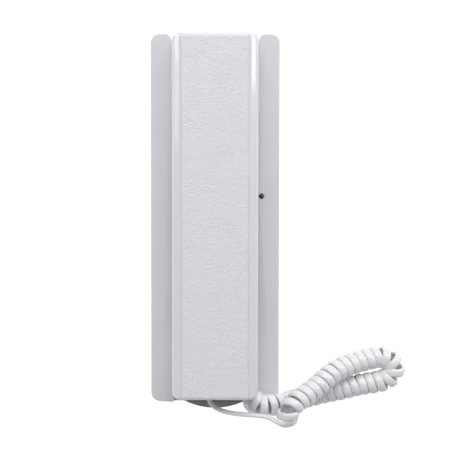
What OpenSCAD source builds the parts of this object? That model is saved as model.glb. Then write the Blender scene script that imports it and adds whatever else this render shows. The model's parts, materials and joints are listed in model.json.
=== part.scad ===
// Slimline wall phone: a shallow wall base with two side wings, a long
// handset that lies in the cradle between them, and its curly cord.
// The phone lies on its back: the flat back is z = 0, +Z leaves the wall,
// +Y points to the earpiece end, and the origin is the middle of the back.

/* [Base] */
// Width across the two wings
base_w = 76; // [75:0.5:78]
// Length from top to bottom
base_l = 218; // [217:0.5:222]
// Radius of the outline's corners
corner_r = 5; // [4:0.5:6]
// Height of a wing at its outer edge
wing_edge_z = 13; // [12.5:0.5:14]
// Height of a wing where it meets the handset
wing_inner_z = 17.5; // [17:0.5:18]
// Height of the seam between the rear cover and the front shell
seam_z = 8; // [7.5:0.5:8]
// Wall thickness of every casing
wall = 2.2; // [2:0.1:2.4]
// Distance between the two keyholes, the standard wall plate's stud spacing
stud_pitch = 101.6; // [101.6]

/* [Handset] */
// Width of the handset
handset_w = 50; // [49:0.5:50.5]
// Height of the grained face above the wall
face_z = 45; // [44.5:0.5:47]
// Width of the sloping side of the face, seen from the front
slope_w = 5.7; // [5:0.1:6.5]
// Depth of the sloping side
slope_h = 5; // [4:0.5:6]
// Height of the grip's inner face
grip_z = 20.5; // [20.5:0.5:21]
// Height of the seam between the two handset shells
split_z = 32; // [31.5:0.5:33]

/* [Keypad] */
// Width of a key
key_w = 9; // [8:0.5:9.5]
// Length of a key
key_l = 7; // [6:0.5:8]
// Distance between key columns
key_pitch_x = 13; // [12.5:0.5:13.5]
// Distance between key rows
key_pitch_y = 13; // [12.5:0.5:13]
// How far a key sinks when it is pressed
key_travel = 0.8; // [0.6:0.1:0.8]

/* [Cord] */
// Width of the flat cord
cord_w = 5; // [4.6:0.1:5]
// Thickness of the flat cord
cord_t = 2.5; // [2.2:0.1:2.6]
// Outer diameter of the curly stretch
coil_d = 13.2; // [12.6:0.1:13.2]

/* [Hidden] */
$fn = 48;
eps = 0.01;

white = [0.86, 0.86, 0.88];
grey = [0.55, 0.56, 0.58];
dark = [0.1, 0.1, 0.11];
steel = [0.75, 0.76, 0.78];
board = [0.16, 0.38, 0.2];

// Base: cradle, wells and notch
floor_t = 2.4;
cradle_w = handset_w + 2;
well_w = handset_w - 1.6;
well_z = 12.2;
well_top = [61, base_l / 2 - 5.5];
well_low = [-base_l / 2, -61];
notch_r = 4;
rest_z = 13.2;
chin_w = 37;
chin_out = 4.5;
chin_z = [8.6, 12];
chin_peg = [12, 11, 0.8];
boss_r = 3;
boss_x = base_w / 2 - 6;
boss_y = base_l / 2 - 20;
screw_r = 1.25;
bore_r = 1.3;

// Line cord channel in the back, and the two modular jacks of the base
channel_x = [-25, -9];
channel_y1 = -40;
channel_z = 8.2;
line_jack_l = 14;
jack_z = [0.4, 9.6];
cord_jack_x = 25;
cord_jack_w = 11;
cord_jack_l = 14;
plug_w = 7.6;
plug_t = 6.4;
plug_gap = 0.15;
plug_out = 1.5;

// Hook: a sprung plunger under the earpiece
hook_y = 84;
hook_r = 4.5;
hook_top_z = 13.3;
hook_flange = [6.5, 4.6, 5.8];

// Lamp on the right wing
lamp_x = 27.5;
lamp_y = 13.7;
lamp_r = 1.5;

// Slide switches in the left side wall
knob_z = 5.3;
knob_travel = 4;
ringer_knob_y = -18;
tone_knob_y = 22;

// Handset
hs_y0 = -103.6;
hs_y1 = base_l / 2 - 0.3;
hs_r = 5;
pad_z = 13.5;
pad_half = handset_w / 2 - 1.4;
pad_top = 19.2;
face_half = handset_w / 2 - slope_w;
pcb_z = 26.4;
ear_y = 85;
mic_y = -78;
hs_jack_x = -3;
hs_jack_z = 26;
hs_screw_y = [-54, 55];
rows_y = 26;

// Routes of the cord, in the order base to handset
COIL_ROUTE = [
    [21.5, -105.5, 23.5], [24, -108.5, 23.5], [29, -110, 23], [34.5, -110, 21.2],
    [40.5, -110.2, 18], [45.5, -109.5, 11.6], [50.5, -108.5, 8], [56, -107.5, 6.8],
    [66, -105, 6.7], [76, -103, 6.7], [86, -100.5, 6.7], [95, -99, 6.7],
    [101.5, -97.5, 6.7], [106.3, -94, 6.7], [107.5, -90, 6.7], [105, -85.5, 6.7],
    [99.5, -83.5, 6.8], [93, -84.5, 7.8], [85, -86.3, 9.8], [79, -88, 12],
    [74, -89.7, 14.2], [69.5, -92, 16.8], [65, -95.2, 19.4], [60.5, -98.8, 22],
    [56, -101.8, 24.8], [51, -104.8, 28.2], [46.4, -107.8, 31.4], [43.8, -110.8, 33],
    [42.8, -113.6, 32.6], [42.4, -115.6, 31.4]
];
BASE_TAIL_ROUTE = [
    [25, -110.6, 5], [25, -113.4, 5], [25, -115.9, 7.4], [24.2, -116.6, 10.8],
    [22.7, -115.6, 14], [21.3, -113.2, 16.6], [20.7, -110.4, 17.9],
    [21.1, -107.8, 18.3], [22.2, -106.1, 18.4]
];
HANDSET_TAIL_ROUTE = [
    [-3, -105.2, 26], [-3, -107.2, 26], [0, -110.6, 26.6], [5.5, -112.8, 28],
    [11.5, -113.7, 29.8], [17.5, -114, 31.4], [23, -114.2, 32.4],
    [28.5, -114.8, 32.6], [32.5, -116, 32.6], [36, -117.9, 32.8], [39.5, -119.5, 33],
    [43, -120.4, 33.2], [46.4, -119.8, 33.4], [48.3, -117.4, 33.4], [47.8, -114.4, 33.4]
];

// A rounded rectangle from corner (x0, y0) to corner (x1, y1)
module rounded(x0, y0, x1, y1, r) {
    translate([x0 + r, y0]) square([x1 - x0 - 2 * r, y1 - y0]);
    translate([x0, y0 + r]) square([x1 - x0, y1 - y0 - 2 * r]);
    for (x = [x0 + r, x1 - r], y = [y0 + r, y1 - r])
        translate([x, y]) circle(r);
}

// A box from one corner to the other
module block(a, b) { translate(a) cube(b - a); }

// A drawing in (x, z), extruded from y0 to y1
module along_y(y0, y1) {
    translate([0, y1, 0]) rotate([90, 0, 0]) linear_extrude(y1 - y0) children();
}

// A drawing in (y, z), extruded from x0 to x1
module along_x(x0, x1) {
    translate([x0, 0, 0]) rotate([90, 0, 90]) linear_extrude(x1 - x0) children();
}

// A screw along +Z whose head starts at z
module screw(z, head_h, length) {
    translate([0, 0, z]) cylinder(h = head_h, r = 2.7);
    translate([0, 0, z + head_h - eps]) cylinder(h = length, r = screw_r);
}

// The base's outline: between the wings its top end is set back
module base_plan(inset = 0) {
    half_w = base_w / 2;
    half_l = base_l / 2;
    cut = cradle_w / 2 + inset;
    difference() {
        rounded(inset - half_w, inset - half_l, half_w - inset, half_l - inset,
                corner_r - inset);
        translate([-cut, well_top[1] - inset]) square([2 * cut, 20]);
        for (side = [-1, 1])
            translate([side * cut, half_l - inset]) difference() {
                square(2 * notch_r, center = true);
                translate([side * notch_r, -notch_r]) circle(notch_r);
                translate([side * notch_r, -3 * notch_r]) square(4 * notch_r, center = true);
                translate([side * 3 * notch_r, -notch_r]) square(4 * notch_r, center = true);
            }
    }
}

// The line across a wing's top, lowered by d
function wing_line(d, x_in, x_out) = [
    [-x_out, wing_edge_z - d], [-x_in, wing_inner_z - d],
    [x_in, wing_inner_z - d], [x_out, wing_edge_z - d]
];

module well_box(grow, z) {
    for (y = [well_top, well_low])
        block([-well_w / 2 - grow, y[0] - (y == well_low ? 10 : grow), z],
              [well_w / 2 + grow, y[1] + (y == well_top ? 10 : grow), 30]);
}

module base_screw_places() {
    for (x = [-boss_x, boss_x], y = [-boss_y, boss_y])
        translate([x, y, 0]) children();
}

module keyhole() {
    translate([0, 0, -1]) {
        cylinder(h = 5, r = 4.5);
        translate([-2.2, 0, 0]) cube([4.4, 8, 5]);
        translate([0, 8, 0]) cylinder(h = 5, r = 2.2);
    }
}

module knob_slot(y) {
    block([-base_w / 2 - 1, y - 2.1, knob_z - 1.7],
          [-base_w / 2 + wall + 1, y + knob_travel + 2.1, knob_z + 1.7]);
}

module rear_cover() {
    color(white) difference() {
        union() {
            difference() {
                linear_extrude(seam_z) base_plan();
                translate([0, 0, floor_t]) linear_extrude(seam_z) base_plan(wall);
            }
            // Walls and roof of the line cord channel
            block([channel_x[0] - 1.5, -base_l / 2 + 1, 1],
                  [channel_x[1] + 1.5, channel_y1 + 1.5, channel_z + 1.5]);
            // Posts under the circuit board
            for (x = [-18, 18], y = [-12, 34])
                translate([x, y, floor_t - eps]) cylinder(h = 3.8, r = 3);
            // Collar that guides the hook's spring
            translate([0, hook_y, floor_t - eps]) difference() {
                cylinder(h = 2, r = 8.4);
                translate([0, 0, -1]) cylinder(h = 5, r = 7.2);
            }
            base_screw_places() cylinder(h = 3.4, r = 4.6);
        }
        block([channel_x[0], -base_l / 2 - 1, -1],
              [channel_x[1], channel_y1, channel_z]);
        // Seats of the two jacks
        block([channel_x[0] + 1.5, channel_y1 - 1, -1],
              [channel_x[1] - 1.5, channel_y1 + line_jack_l + 0.3, 20]);
        block([cord_jack_x - cord_jack_w / 2 - 0.2, -base_l / 2 - 1, -1],
              [cord_jack_x + cord_jack_w / 2 + 0.2, -base_l / 2 + cord_jack_l + 0.4, 20]);
        for (y = [-stud_pitch / 2, stud_pitch / 2])
            translate([0, y, 0]) keyhole();
        for (x = [-18, 18], y = [-12, 34])
            translate([x, y, 1.2]) cylinder(h = 10, r = bore_r - 0.1);
        base_screw_places() {
            translate([0, 0, -1]) cylinder(h = 10, r = 1.6);
            translate([0, 0, -1]) cylinder(h = 2.6, r = 3.1);
        }
        knob_slot(ringer_knob_y);
        knob_slot(tone_knob_y);
        // Sound slots over the ringer
        for (y = [4, 8, 12, 16, 20])
            block([-9, y - 0.8, -1], [9, y + 0.8, floor_t + 1]);
    }
}

// The curved lip under the mouthpiece end
module chin_bumper() {
    r = (pow(chin_w / 2, 2) + chin_out * chin_out) / (2 * chin_out);
    end = -base_l / 2;
    color(dark) {
        translate([0, 0, chin_z[0]]) linear_extrude(chin_z[1] - chin_z[0]) intersection() {
            translate([0, r + end - chin_out]) circle(r, $fn = 96);
            translate([-chin_w, end - chin_out - 1]) square([2 * chin_w, chin_out + 1]);
        }
        for (side = [-1, 1])
            along_y(end - eps, end + wall + 0.4)
                translate([side * chin_peg[0], chin_peg[1]]) circle(chin_peg[2]);
    }
}

module base_shell() {
    half = base_w / 2;
    color(white) difference() {
        union() {
            difference() {
                intersection() {
                    translate([0, 0, seam_z]) linear_extrude(20) base_plan();
                    along_y(-base_l, base_l)
                        polygon(concat([[half, 0], [-half, 0]],
                                       wing_line(0, cradle_w / 2, half)));
                }
                difference() {
                    intersection() {
                        translate([0, 0, seam_z - 1]) linear_extrude(20) base_plan(wall);
                        along_y(-base_l, base_l)
                            polygon(concat([[half, 0], [-half, 0]],
                                           wing_line(wall + 0.15, cradle_w / 2, half)));
                    }
                    well_box(wall, well_z - wall);
                }
                well_box(0, well_z);
            }
            base_screw_places() translate([0, 0, 3.6]) cylinder(h = 9.6, r = boss_r);
            // Low ribs that the handset's two ends rest on
            for (y = [-96, -70, 66.5, 98])
                block([-20, y - 0.8, well_z - eps], [20, y + 0.8, rest_z]);
        }
        base_screw_places() translate([0, 0, 3]) cylinder(h = 8.8, r = bore_r);
        translate([0, hook_y, 0]) cylinder(h = 30, r = hook_r + 0.3);
        translate([lamp_x, lamp_y, 0]) cylinder(h = 30, r = lamp_r + 0.05);
        // Holes of the chin bumper's two pegs
        for (side = [-1, 1])
            along_y(-base_l / 2 - 1, -base_l / 2 + wall + 1)
                translate([side * chin_peg[0], chin_peg[1]]) circle(chin_peg[2] + 0.05);
        // Slot of the hanger tab
        block([-4.1, 72.4, 0], [4.1, 75.6, 30]);
        // Room at the lower end for the cord jack and the line cord channel
        block([cord_jack_x - cord_jack_w / 2 - 0.2, -base_l / 2 - 1, 0],
              [cord_jack_x + cord_jack_w / 2 + 0.2, -base_l / 2 + 5, jack_z[1] + 0.2]);
        block([channel_x[0] - 1.7, -base_l / 2 + 0.8, 0],
              [channel_x[1] + 1.7, -base_l / 2 + 5, channel_z + 1.7]);
        block([channel_x[0], -base_l / 2 - 0.5, 0], [channel_x[1], -base_l / 2 + 5, channel_z]);
    }
}

module base_pcb() {
    color(board) difference() {
        block([-24, -22, 6.2], [26, 44, 7.8]);
        for (x = [-18, 18], y = [-12, 34])
            translate([x, y, 0]) cylinder(h = 10, r = 1.5);
        translate([0, 12, 0]) cylinder(h = 10, r = 8);
    }
    // Capacitors and the relay on the board
    color(dark) for (x = [-14, -6, 6])
        translate([x, -16, 7.8 - eps]) cylinder(h = 4.5, r = 2.5);
    color(dark) block([11, 21, 7.8 - eps], [22, 30, 12.5]);
}

module ringer_disc() {
    color(dark) translate([0, 12, 7.9]) difference() {
        cylinder(h = 5.6, r = 11);
        translate([0, 0, 4.6]) cylinder(h = 3, r = 2);
    }
}

module base_leads() {
    color(grey) {
        // From the line jack and the cord jack to the board
        for (x = [-18.5, -15.5])
            along_y(channel_y1 + line_jack_l + 0.2, -22.1) translate([x, 7]) circle(0.6);
        for (x = [23, 25.4])
            along_y(-base_l / 2 + cord_jack_l + 0.4, -22.1) translate([x, 7]) circle(0.6);
    }
}

module hook_plunger() {
    color(white) translate([0, hook_y, 0]) {
        translate([0, 0, hook_flange[1]])
            cylinder(h = hook_flange[2] - hook_flange[1], r = hook_flange[0]);
        translate([0, 0, hook_flange[1]]) cylinder(h = hook_top_z - 1 - hook_flange[1], r = hook_r);
        translate([0, 0, hook_top_z - 1 - eps])
            cylinder(h = 1 + eps, r1 = hook_r, r2 = hook_r - 1);
    }
}

module hook_spring() {
    color(steel) translate([0, hook_y, floor_t + 0.1]) difference() {
        cylinder(h = hook_flange[1] - floor_t - 0.2, r = 6);
        translate([0, 0, -1]) cylinder(h = 5, r = 5);
    }
}

module hook_switch() {
    color(dark) block([9.4, hook_y - 6, floor_t + 0.1], [15.4, hook_y + 6, 8.6]);
    color(steel) block([9.2, hook_y - 4, 8.6 - eps], [14, hook_y + 4, 9.0]);
}

module hanger_tab() {
    color(white) {
        block([-4, 72.5, floor_t + 0.1], [4, 75.5, 16.2]);
        block([-6, 72.5, floor_t + 0.1], [6, 75.5, 6]);
    }
}

module ring_lamp() {
    color(dark) translate([lamp_x, lamp_y, 0]) {
        translate([0, 0, 8]) cylinder(h = 8.8, r = lamp_r);
        translate([0, 0, 16.8]) intersection() {
            sphere(r = lamp_r);
            cylinder(h = 3, r = 3);
        }
        translate([0, 0, 7.9]) cylinder(h = 1, r = 1.9);
    }
}

// A jack: a block along Y with a pocket open at its -Y end
module jack(x, z, w, h, pocket_w, pocket_h, y0, l) {
    difference() {
        block([x - w / 2, y0, z - h / 2], [x + w / 2, y0 + l, z + h / 2]);
        block([x - pocket_w / 2, y0 - 1, z - pocket_h / 2],
              [x + pocket_w / 2, y0 + l - 2, z + pocket_h / 2]);
    }
}

module line_jack() {
    color(grey) jack((channel_x[0] + channel_x[1]) / 2, (jack_z[0] + jack_z[1]) / 2,
                     12.8, jack_z[1] - jack_z[0], 9.8, 6.8, channel_y1 + 0.1, line_jack_l);
}

module base_cord_jack() {
    color(grey) jack(cord_jack_x, (jack_z[0] + jack_z[1]) / 2, cord_jack_w,
                     jack_z[1] - jack_z[0], plug_w + 2 * plug_gap, plug_t + 2 * plug_gap,
                     -base_l / 2 + 0.2, cord_jack_l);
}

module handset_cord_jack() {
    color(grey) jack(hs_jack_x, hs_jack_z, 9.6, 11.4, plug_t + 2 * plug_gap,
                     plug_w + 2 * plug_gap, hs_y0 + 0.2, cord_jack_l);
}

module slide_switches() {
    color(dark) for (y = [ringer_knob_y, tone_knob_y])
        block([-34.1, y - 6, floor_t + 0.1], [-29, y + 10, 7.6]);
}

module switch_knob(y) {
    color(dark) {
        block([-base_w / 2 + 0.2, y - 1.8, knob_z - 1.4],
              [-base_w / 2 + wall + 0.3, y + 1.8, knob_z + 1.4]);
        block([-base_w / 2 + wall + 0.2, y - 6, knob_z - 2.3],
              [-base_w / 2 + wall + 1.4, y + 6, knob_z + 2.3]);
    }
}
module ringer_switch_knob() { switch_knob(ringer_knob_y); }
module tone_switch_knob() { switch_knob(tone_knob_y); }

module base_screws() {
    color(steel) base_screw_places() difference() {
        screw(0.3, 1.2, 9);
        translate([0, 0, 0.6]) cube([3.2, 0.7, 1], center = true);
        translate([0, 0, 0.6]) cube([0.7, 3.2, 1], center = true);
    }
}

module pcb_screws() {
    color(steel) for (x = [-18, 18], y = [-12, 34])
        translate([x, y, 9.3]) rotate([180, 0, 0]) {
            cylinder(h = 1.4, r = 2.4);
            cylinder(h = 7, r = 1.1);
        }
}

module handset_plan(inset = 0) {
    rounded(inset - handset_w / 2, hs_y0 + inset, handset_w / 2 - inset, hs_y1 - inset,
            hs_r - inset);
}

// Section of the outer shell: flat face and two sloping sides
module face_section(d) {
    half = handset_w / 2;
    polygon([[-half, split_z - 2 * d - 1], [half, split_z - 2 * d - 1],
             [half, face_z - slope_h - d * 1.33], [face_half - d * 0.38, face_z - d],
             [d * 0.38 - face_half, face_z - d], [-half, face_z - slope_h - d * 1.33]]);
}

module handset_outer_shell() {
    soft = 1.6;
    color(white) difference() {
        union() {
            difference() {
                intersection() {
                    translate([0, 0, split_z]) linear_extrude(30) handset_plan();
                    along_y(-base_l, base_l) face_section(0);
                    along_x(-base_w, base_w)
                        polygon([[hs_y0, 0], [hs_y1, 0], [hs_y1, face_z - soft],
                                 [hs_y1 - soft, face_z], [hs_y0 + soft, face_z],
                                 [hs_y0, face_z - soft]]);
                }
                intersection() {
                    translate([0, 0, split_z - 1]) linear_extrude(30) handset_plan(wall);
                    along_y(-base_l, base_l) face_section(wall);
                }
            }
            // Screw posts
            for (y = hs_screw_y)
                translate([0, y, 23.2]) cylinder(h = face_z - wall - 23.2 + 0.5, r = boss_r);
        }
        for (y = hs_screw_y)
            translate([0, y, 20]) cylinder(h = 18, r = bore_r);
    }
}

// Side view of the inner shell: grip between the earpiece and mouthpiece pads
module inner_side(d, top) {
    polygon([[hs_y0 + d, top], [hs_y0 + d, pad_z + 4 + 0.4 * d],
             [hs_y0 + 4 + 0.4 * d, pad_z + d], [-66 - 0.4 * d, pad_z + d],
             [-61 - 0.4 * d, grip_z + d], [59 + 0.4 * d, grip_z + d],
             [64 + 0.4 * d, pad_z + d], [hs_y1 - 5 - 0.4 * d, pad_z + d],
             [hs_y1 - d, pad_z + 5 + 0.4 * d], [hs_y1 - d, top]]);
}

// Section of the inner shell: the pads are narrower than the handset
module pad_section(d, top) {
    half = handset_w / 2 - d;
    low = pad_half - d;
    polygon([[-half, top], [-half, pad_top + 0.6 * d], [-low, pad_top - 1 + 0.6 * d],
             [-low, pad_z + d], [low, pad_z + d], [low, pad_top - 1 + 0.6 * d],
             [half, pad_top + 0.6 * d], [half, top]]);
}

function key_x(i) = (i % 3 - 1) * key_pitch_x;
function key_y(i) = rows_y - floor(i / 3) * key_pitch_y - (i > 11 ? 6 : 0);

module handset_inner_shell() {
    color(white) difference() {
        intersection() {
            linear_extrude(split_z) handset_plan();
            along_x(-base_w, base_w) inner_side(0, split_z);
            along_y(-base_l, base_l) pad_section(0, split_z);
        }
        intersection() {
            linear_extrude(split_z + 1) handset_plan(wall);
            along_x(-base_w, base_w) inner_side(wall, split_z + 1);
            along_y(-base_l, base_l) pad_section(wall, split_z + 1);
        }
        for (i = [0:14])
            translate([key_x(i), key_y(i), grip_z])
                cube([key_w + 0.6, key_l + 0.6, 3 * wall], center = true);
        // Sound holes of the earpiece and the mouthpiece
        for (a = [0:60:300])
            translate([6 * cos(a), ear_y + 6 * sin(a), pad_z - 1]) cylinder(h = 4, r = 1.1);
        translate([0, ear_y, pad_z - 1]) cylinder(h = 4, r = 1.1);
        for (x = [-3, 0, 3])
            translate([x, mic_y, pad_z - 1]) cylinder(h = 4, r = 0.8);
        // Room for the hanger tab
        block([-4.6, 72, pad_z - 1], [4.6, 76, pad_z + 3.4]);
        // Mouth of the cord jack
        block([hs_jack_x - 4.9, hs_y0 - 1, hs_jack_z - 5.8],
              [hs_jack_x + 4.9, hs_y0 + wall + 1, split_z + 1]);
        for (y = hs_screw_y) {
            translate([0, y, grip_z - 1]) cylinder(h = 5, r = 1.6);
            translate([0, y, grip_z - 1]) cylinder(h = 2.6, r = 3);
        }
    }
}

module receiver() {
    color(dark) translate([0, ear_y + 3, pad_z + wall + 0.7]) {
        cylinder(h = 5, r = 14);
        cylinder(h = 9, r = 9);
    }
}

module receiver_gasket() {
    color(grey) translate([0, ear_y + 3, pad_z + wall + 0.05]) difference() {
        cylinder(h = 0.6, r = 11.7);
        translate([0, 0, -1]) cylinder(h = 3, r = 10.3);
    }
}

module receiver_leads() {
    color(grey) for (x = [6, 10]) {
        along_y(44.2, 78.9) translate([x, 27.2]) circle(0.6);
        translate([x, 78.3, pad_z + wall + 5.8]) cylinder(h = 5.7, r = 0.6);
    }
}

module mic_boot() {
    color(dark) translate([0, mic_y, pad_z + wall + 0.1]) difference() {
        cylinder(h = 6, r = 6.4);
        translate([0, 0, 1.2]) cylinder(h = 6, r = 4.95);
        translate([0, 0, -1]) cylinder(h = 4, r = 3.8);
    }
}

module microphone() {
    color(steel) translate([0, mic_y, pad_z + wall + 1.4]) cylinder(h = 5.6, r = 4.85);
}

module mic_leads() {
    color(grey) for (x = [-4, 4]) {
        along_y(mic_y - 0.5, -48.2) translate([x, 27.2]) circle(0.5);
        translate([x, mic_y, pad_z + wall + 7.1]) cylinder(h = 4.4, r = 0.5);
    }
}

module handset_pcb() {
    color(board) difference() {
        block([-20, -48, pcb_z], [20, 44, pcb_z + 1.6]);
        block([-21, -49, 0], [-14, -42, 40]);
    }
    color(dark) block([-6, -10, pcb_z + 1.6 - eps], [6, 8, pcb_z + 4]);
}

module keypad_mat() {
    color(grey) block([-19, -40, grip_z + 4.4], [19, 34, pcb_z - 0.2]);
}

module handset_screws() {
    color(steel) for (y = hs_screw_y)
        translate([0, y, 0]) difference() {
            screw(grip_z + 0.1, 1.3, 12);
            translate([0, 0, grip_z + 0.3]) cube([3.2, 0.7, 1], center = true);
            translate([0, 0, grip_z + 0.3]) cube([0.7, 3.2, 1], center = true);
        }
}

module key(i) {
    proud = 1;
    color(grey) translate([key_x(i), key_y(i), 0]) {
        translate([0, 0, grip_z - proud]) linear_extrude(proud + 2.6)
            rounded(-key_w / 2, -key_l / 2, key_w / 2, key_l / 2, 1.2);
        translate([0, 0, grip_z + wall + 0.1]) linear_extrude(1.2)
            rounded(-key_w / 2 - 0.9, -key_l / 2 - 0.9, key_w / 2 + 0.9, key_l / 2 + 0.9, 1.2);
    }
}
module key_1() { key(0); }
module key_2() { key(1); }
module key_3() { key(2); }
module key_4() { key(3); }
module key_5() { key(4); }
module key_6() { key(5); }
module key_7() { key(6); }
module key_8() { key(7); }
module key_9() { key(8); }
module key_star() { key(9); }
module key_0() { key(10); }
module key_hash() { key(11); }
module key_redial() { key(12); }
module key_flash() { key(13); }
module key_mute() { key(14); }

// A smooth line through the route's points, n steps between two of them
function through(a, b, c, d, t) = 0.5 * (2 * b + (c - a) * t
    + (2 * a - 5 * b + 4 * c - d) * t * t + (3 * b - a - 3 * c + d) * t * t * t);
function smooth_line(p, n) = let (last = len(p) - 1) concat(
    [for (i = [0:last - 1], j = [0:n - 1])
        through(p[max(i - 1, 0)], p[i], p[i + 1], p[min(i + 2, last)], j / n)],
    [p[last]]);
function unit(v) = v / norm(v);

// One ring of a tube: half-width a across, half-height b along up
function ring(p, i, a, b, up, sides) =
    let (t = unit(p[min(i + 1, len(p) - 1)] - p[max(i - 1, 0)]),
         side = unit(cross(up, t)), top = cross(t, side))
    [for (k = [0:sides - 1]) p[i] + a * cos(360 * k / sides) * side
        + b * sin(360 * k / sides) * top];

// A closed tube swept along the points p
module tube(p, a, b, up, sides) {
    n = len(p);
    polyhedron(
        points = [for (i = [0:n - 1]) each ring(p, i, a, b, up, sides)],
        faces = concat(
            [[for (k = [0:sides - 1]) k]],
            [for (i = [0:n - 2], k = [0:sides - 1]) let (m = (k + 1) % sides)
                [i * sides + k, (i + 1) * sides + k, (i + 1) * sides + m, i * sides + m]],
            [[for (k = [sides - 1:-1:0]) (n - 1) * sides + k]]));
}

module cord_coil() {
    color(white) tube(smooth_line(COIL_ROUTE, 2), coil_d / 2, coil_d / 2, [0, 0, 1], 12);
}

module base_tail() {
    color(white) tube(smooth_line(BASE_TAIL_ROUTE, 2), cord_t / 2, cord_w / 2, [0.8, 0, 0.6], 8);
}

module handset_tail() {
    color(white) tube(smooth_line(HANDSET_TAIL_ROUTE, 1), cord_t / 2, cord_w / 2, [0, 0, 1], 8);
}

module handset_plug() {
    color(grey) block(
        [hs_jack_x - plug_t / 2, hs_y0 - plug_out, hs_jack_z - plug_w / 2],
        [hs_jack_x + plug_t / 2, hs_y0 + 10.2, hs_jack_z + plug_w / 2]);
}

module base_plug() {
    z = (jack_z[0] + jack_z[1]) / 2;
    color(grey) block(
        [cord_jack_x - plug_w / 2, -base_l / 2 - plug_out, z - plug_t / 2],
        [cord_jack_x + plug_w / 2, -base_l / 2 + 10.2, z + plug_t / 2]);
}

rear_cover();
base_shell();
base_pcb();
base_leads();
ringer_disc();
hook_plunger();
hook_spring();
hook_switch();
hanger_tab();
ring_lamp();
chin_bumper();
line_jack();
base_cord_jack();
slide_switches();
ringer_switch_knob();
tone_switch_knob();
base_screws();
pcb_screws();
handset_outer_shell();
handset_inner_shell();
receiver();
receiver_gasket();
receiver_leads();
microphone();
mic_boot();
mic_leads();
handset_pcb();
keypad_mat();
handset_cord_jack();
handset_screws();
key_1();
key_2();
key_3();
key_4();
key_5();
key_6();
key_7();
key_8();
key_9();
key_star();
key_0();
key_hash();
key_redial();
key_flash();
key_mute();
cord_coil();
handset_tail();
base_tail();
handset_plug();
base_plug();
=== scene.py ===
"""Looks of a slim wall telephone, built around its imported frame.

The telephone lies on its back. Its handset, with a leather-grained face and
two sloping sides, rests between the wings of a shallow wall base. A flat cord,
wound into one long curly stretch, runs from the base to the handset.
"""

import json
import logging
import math
from dataclasses import dataclass, field
from enum import Enum
from typing import Any, Callable, Sequence

import bmesh
import bpy
from bmesh.types import BMesh
from bpy.types import Material, NodeTree, Object
from mathutils import Matrix, Vector
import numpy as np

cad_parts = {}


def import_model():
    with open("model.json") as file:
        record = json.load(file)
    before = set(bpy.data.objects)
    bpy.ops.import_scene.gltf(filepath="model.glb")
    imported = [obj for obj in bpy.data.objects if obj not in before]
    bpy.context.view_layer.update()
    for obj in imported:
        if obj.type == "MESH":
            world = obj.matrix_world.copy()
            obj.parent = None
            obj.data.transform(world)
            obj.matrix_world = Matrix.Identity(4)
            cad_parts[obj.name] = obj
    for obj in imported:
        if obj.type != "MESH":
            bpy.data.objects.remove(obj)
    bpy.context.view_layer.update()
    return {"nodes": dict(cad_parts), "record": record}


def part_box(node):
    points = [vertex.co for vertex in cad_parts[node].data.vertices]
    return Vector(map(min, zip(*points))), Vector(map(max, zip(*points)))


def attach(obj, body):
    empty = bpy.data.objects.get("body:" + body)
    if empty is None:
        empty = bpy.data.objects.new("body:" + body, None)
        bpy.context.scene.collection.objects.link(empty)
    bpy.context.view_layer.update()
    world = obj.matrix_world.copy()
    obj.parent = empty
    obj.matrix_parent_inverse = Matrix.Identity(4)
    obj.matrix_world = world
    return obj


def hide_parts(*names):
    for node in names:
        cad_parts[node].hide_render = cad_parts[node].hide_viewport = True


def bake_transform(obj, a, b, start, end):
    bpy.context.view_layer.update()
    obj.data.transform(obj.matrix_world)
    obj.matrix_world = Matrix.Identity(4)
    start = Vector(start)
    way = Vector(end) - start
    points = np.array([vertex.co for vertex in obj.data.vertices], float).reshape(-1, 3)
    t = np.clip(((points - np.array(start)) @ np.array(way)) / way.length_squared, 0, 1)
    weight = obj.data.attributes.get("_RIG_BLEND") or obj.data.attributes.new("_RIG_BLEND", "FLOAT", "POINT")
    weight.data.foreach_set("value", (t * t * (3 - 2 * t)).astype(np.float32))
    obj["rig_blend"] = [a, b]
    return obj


LOG = logging.getLogger("wall_phone")
MM = 0.001
UP = Vector((0.0, 0.0, 1.0))
RGB = tuple[float, float, float]
Point = tuple[float, float, float]

# Routes of the cord in metres, in the order base to handset
COIL_ROUTE: tuple[Point, ...] = (
    (0.0215, -0.1055, 0.0235), (0.024, -0.1085, 0.0235), (0.029, -0.110, 0.023),
    (0.0345, -0.110, 0.0212), (0.0405, -0.1102, 0.018), (0.0455, -0.1095, 0.0116),
    (0.0505, -0.1085, 0.008), (0.056, -0.1075, 0.0068), (0.066, -0.105, 0.0067),
    (0.076, -0.103, 0.0067), (0.086, -0.1005, 0.0067), (0.095, -0.099, 0.0067),
    (0.1015, -0.0975, 0.0067), (0.1063, -0.094, 0.0067), (0.1075, -0.090, 0.0067),
    (0.105, -0.0855, 0.0067), (0.0995, -0.0835, 0.0068), (0.093, -0.0845, 0.0078),
    (0.085, -0.0863, 0.0098), (0.079, -0.088, 0.012), (0.074, -0.0897, 0.0142),
    (0.0695, -0.092, 0.0168), (0.065, -0.0952, 0.0194), (0.0605, -0.0988, 0.022),
    (0.056, -0.1018, 0.0248), (0.051, -0.1048, 0.0282), (0.0464, -0.1078, 0.0314),
    (0.0438, -0.1108, 0.033), (0.0428, -0.1136, 0.0326), (0.0424, -0.1156, 0.0314),
)
BASE_TAIL_ROUTE: tuple[Point, ...] = (
    (0.025, -0.1102, 0.005), (0.025, -0.1134, 0.005), (0.025, -0.1159, 0.0074),
    (0.0242, -0.1166, 0.0108), (0.0225, -0.1156, 0.014), (0.0205, -0.1132, 0.0164),
    (0.0193, -0.1104, 0.0177), (0.0192, -0.1086, 0.018), (0.0199, -0.1069, 0.0181),
)
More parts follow.
